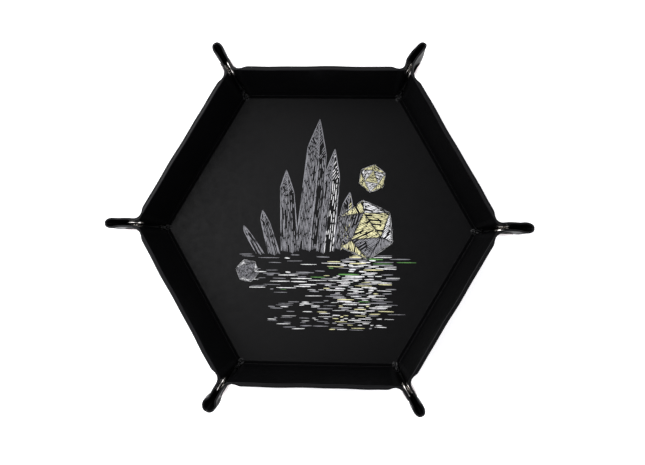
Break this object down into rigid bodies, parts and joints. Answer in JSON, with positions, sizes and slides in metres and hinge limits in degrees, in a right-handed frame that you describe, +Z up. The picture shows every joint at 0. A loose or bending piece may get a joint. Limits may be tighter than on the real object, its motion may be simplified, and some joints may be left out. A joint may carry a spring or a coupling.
{
  "type": "folding dice tray",
  "caption": "Hexagonal black leather dice tray whose boarded walls fold up from a flat sheet and are held by snap fasteners at pinched corner ears.",
  "frame": {"origin": "middle of the tray, on the plane its underside rests on", "axes": "+Z up out of the tray; +X through one corner ear; +Y square to one wall"},
  "size_m": [0.2558, 0.2244, 0.0416],
  "materials": {
    "cover_leather": "smooth black artificial leather, satin",
    "lining_leather": "smooth black artificial leather, satin, printed on the floor",
    "board": "grey board, hidden",
    "snap_metal": "polished nickel"
  },
  "bodies": {
    "base": {"base_cover": "cover_leather", "base_board": "board", "base_lining": "lining_leather"},
    "wall_1": {"wall_1_cover": "cover_leather", "wall_1_board": "board", "wall_1_lining": "lining_leather"},
    "wall_2": {"wall_2_cover": "cover_leather", "wall_2_board": "board", "wall_2_lining": "lining_leather"},
    "wall_3": {"wall_3_cover": "cover_leather", "wall_3_board": "board", "wall_3_lining": "lining_leather"},
    "wall_4": {"wall_4_cover": "cover_leather", "wall_4_board": "board", "wall_4_lining": "lining_leather"},
    "wall_5": {"wall_5_cover": "cover_leather", "wall_5_board": "board", "wall_5_lining": "lining_leather"},
    "wall_6": {"wall_6_cover": "cover_leather", "wall_6_board": "board", "wall_6_lining": "lining_leather"},
    "corner_1_stud_half": {"corner_1_stud_flap": "cover_leather", "corner_1_stud_cap": "snap_metal", "corner_1_stud": "snap_metal"},
    "corner_1_socket_half": {"corner_1_socket_flap": "cover_leather", "corner_1_socket_cap": "snap_metal", "corner_1_socket": "snap_metal"},
    "corner_2_stud_half": {"corner_2_stud_flap": "cover_leather", "corner_2_stud_cap": "snap_metal", "corner_2_stud": "snap_metal"},
    "corner_2_socket_half": {"corner_2_socket_flap": "cover_leather", "corner_2_socket_cap": "snap_metal", "corner_2_socket": "snap_metal"},
    "corner_3_stud_half": {"corner_3_stud_flap": "cover_leather", "corner_3_stud_cap": "snap_metal", "corner_3_stud": "snap_metal"},
    "corner_3_socket_half": {"corner_3_socket_flap": "cover_leather", "corner_3_socket_cap": "snap_metal", "corner_3_socket": "snap_metal"},
    "corner_4_stud_half": {"corner_4_stud_flap": "cover_leather", "corner_4_stud_cap": "snap_metal", "corner_4_stud": "snap_metal"},
    "corner_4_socket_half": {"corner_4_socket_flap": "cover_leather", "corner_4_socket_cap": "snap_metal", "corner_4_socket": "snap_metal"},
    "corner_5_stud_half": {"corner_5_stud_flap": "cover_leather", "corner_5_stud_cap": "snap_metal", "corner_5_stud": "snap_metal"},
    "corner_5_socket_half": {"corner_5_socket_flap": "cover_leather", "corner_5_socket_cap": "snap_metal", "corner_5_socket": "snap_metal"},
    "corner_6_stud_half": {"corner_6_stud_flap": "cover_leather", "corner_6_stud_cap": "snap_metal", "corner_6_stud": "snap_metal"},
    "corner_6_socket_half": {"corner_6_socket_flap": "cover_leather", "corner_6_socket_cap": "snap_metal", "corner_6_socket": "snap_metal"}
  },
  "joints": [
    {"name": "wall_1_fold", "type": "hinge", "parent": "base", "child": "wall_1", "pos_m": [0.07534, 0.0435, 0.0021], "axis": [-0.5, 0.866, 0], "range_deg": [0, 80]},
    {"name": "wall_2_fold", "type": "hinge", "parent": "base", "child": "wall_2", "pos_m": [0, 0.087, 0.0021], "axis": [-1, 0, 0], "range_deg": [0, 80]},
    {"name": "wall_3_fold", "type": "hinge", "parent": "base", "child": "wall_3", "pos_m": [-0.07534, 0.0435, 0.0021], "axis": [-0.5, -0.866, 0], "range_deg": [0, 80]},
    {"name": "wall_4_fold", "type": "hinge", "parent": "base", "child": "wall_4", "pos_m": [-0.07534, -0.0435, 0.0021], "axis": [0.5, -0.866, 0], "range_deg": [0, 80]},
    {"name": "wall_5_fold", "type": "hinge", "parent": "base", "child": "wall_5", "pos_m": [0, -0.087, 0.0021], "axis": [1, 0, 0], "range_deg": [0, 80]},
    {"name": "wall_6_fold", "type": "hinge", "parent": "base", "child": "wall_6", "pos_m": [0.07534, -0.0435, 0.0021], "axis": [0.5, 0.866, 0], "range_deg": [0, 80]},
    {"name": "corner_1_stud_bend", "type": "hinge", "parent": "wall_1", "child": "corner_1_stud_half", "pos_m": [0.1032, 0.0022, 0.0218], "axis": [-0.1995, 0, -0.9799], "range_deg": [0, 60.51]},
    {"name": "corner_1_socket_bend", "type": "hinge", "parent": "wall_6", "child": "corner_1_socket_half", "pos_m": [0.1032, -0.0022, 0.0218], "axis": [0.1995, 0, 0.9799], "range_deg": [0, 60.51]},
    {"name": "corner_2_stud_bend", "type": "hinge", "parent": "wall_2", "child": "corner_2_stud_half", "pos_m": [0.04969, 0.09047, 0.0218], "axis": [-0.0998, -0.1728, -0.9799], "range_deg": [0, 60.51]},
    {"name": "corner_2_socket_bend", "type": "hinge", "parent": "wall_1", "child": "corner_2_socket_half", "pos_m": [0.0535, 0.08827, 0.0218], "axis": [0.0998, 0.1728, 0.9799], "range_deg": [0, 60.51]},
    {"name": "corner_3_stud_bend", "type": "hinge", "parent": "wall_3", "child": "corner_3_stud_half", "pos_m": [-0.0535, 0.08827, 0.0218], "axis": [0.0998, -0.1728, -0.9799], "range_deg": [0, 60.51]},
    {"name": "corner_3_socket_bend", "type": "hinge", "parent": "wall_2", "child": "corner_3_socket_half", "pos_m": [-0.04969, 0.09047, 0.0218], "axis": [-0.0998, 0.1728, 0.9799], "range_deg": [0, 60.51]},
    {"name": "corner_4_stud_bend", "type": "hinge", "parent": "wall_4", "child": "corner_4_stud_half", "pos_m": [-0.1032, -0.0022, 0.0218], "axis": [0.1995, 0, -0.9799], "range_deg": [0, 60.51]},
    {"name": "corner_4_socket_bend", "type": "hinge", "parent": "wall_3", "child": "corner_4_socket_half", "pos_m": [-0.1032, 0.0022, 0.0218], "axis": [-0.1995, 0, 0.9799], "range_deg": [0, 60.51]},
    {"name": "corner_5_stud_bend", "type": "hinge", "parent": "wall_5", "child": "corner_5_stud_half", "pos_m": [-0.04969, -0.09047, 0.0218], "axis": [0.0998, 0.1728, -0.9799], "range_deg": [0, 60.51]},
    {"name": "corner_5_socket_bend", "type": "hinge", "parent": "wall_4", "child": "corner_5_socket_half", "pos_m": [-0.0535, -0.08827, 0.0218], "axis": [-0.0998, -0.1728, 0.9799], "range_deg": [0, 60.51]},
    {"name": "corner_6_stud_bend", "type": "hinge", "parent": "wall_6", "child": "corner_6_stud_half", "pos_m": [0.0535, -0.08827, 0.0218], "axis": [-0.0998, 0.1728, -0.9799], "range_deg": [0, 60.51]},
    {"name": "corner_6_socket_bend", "type": "hinge", "parent": "wall_5", "child": "corner_6_socket_half", "pos_m": [0.04969, -0.09047, 0.0218], "axis": [0.0998, -0.1728, 0.9799], "range_deg": [0, 60.51]}
  ],
  "couplings": [
    {"joint": "wall_2_fold", "follows": "wall_1_fold", "ratio": 1},
    {"joint": "wall_3_fold", "follows": "wall_1_fold", "ratio": 1},
    {"joint": "wall_4_fold", "follows": "wall_1_fold", "ratio": 1},
    {"joint": "wall_5_fold", "follows": "wall_1_fold", "ratio": 1},
    {"joint": "wall_6_fold", "follows": "wall_1_fold", "ratio": 1},
    {"joint": "corner_1_stud_bend", "follows": "wall_1_fold", "ratio": 0.75627},
    {"joint": "corner_1_socket_bend", "follows": "wall_1_fold", "ratio": 0.75627},
    {"joint": "corner_2_stud_bend", "follows": "wall_1_fold", "ratio": 0.75627},
    {"joint": "corner_2_socket_bend", "follows": "wall_1_fold", "ratio": 0.75627},
    {"joint": "corner_3_stud_bend", "follows": "wall_1_fold", "ratio": 0.75627},
    {"joint": "corner_3_socket_bend", "follows": "wall_1_fold", "ratio": 0.75627},
    {"joint": "corner_4_stud_bend", "follows": "wall_1_fold", "ratio": 0.75627},
    {"joint": "corner_4_socket_bend", "follows": "wall_1_fold", "ratio": 0.75627},
    {"joint": "corner_5_stud_bend", "follows": "wall_1_fold", "ratio": 0.75627},
    {"joint": "corner_5_socket_bend", "follows": "wall_1_fold", "ratio": 0.75627},
    {"joint": "corner_6_stud_bend", "follows": "wall_1_fold", "ratio": 0.75627},
    {"joint": "corner_6_socket_bend", "follows": "wall_1_fold", "ratio": 0.75627}
  ]
}
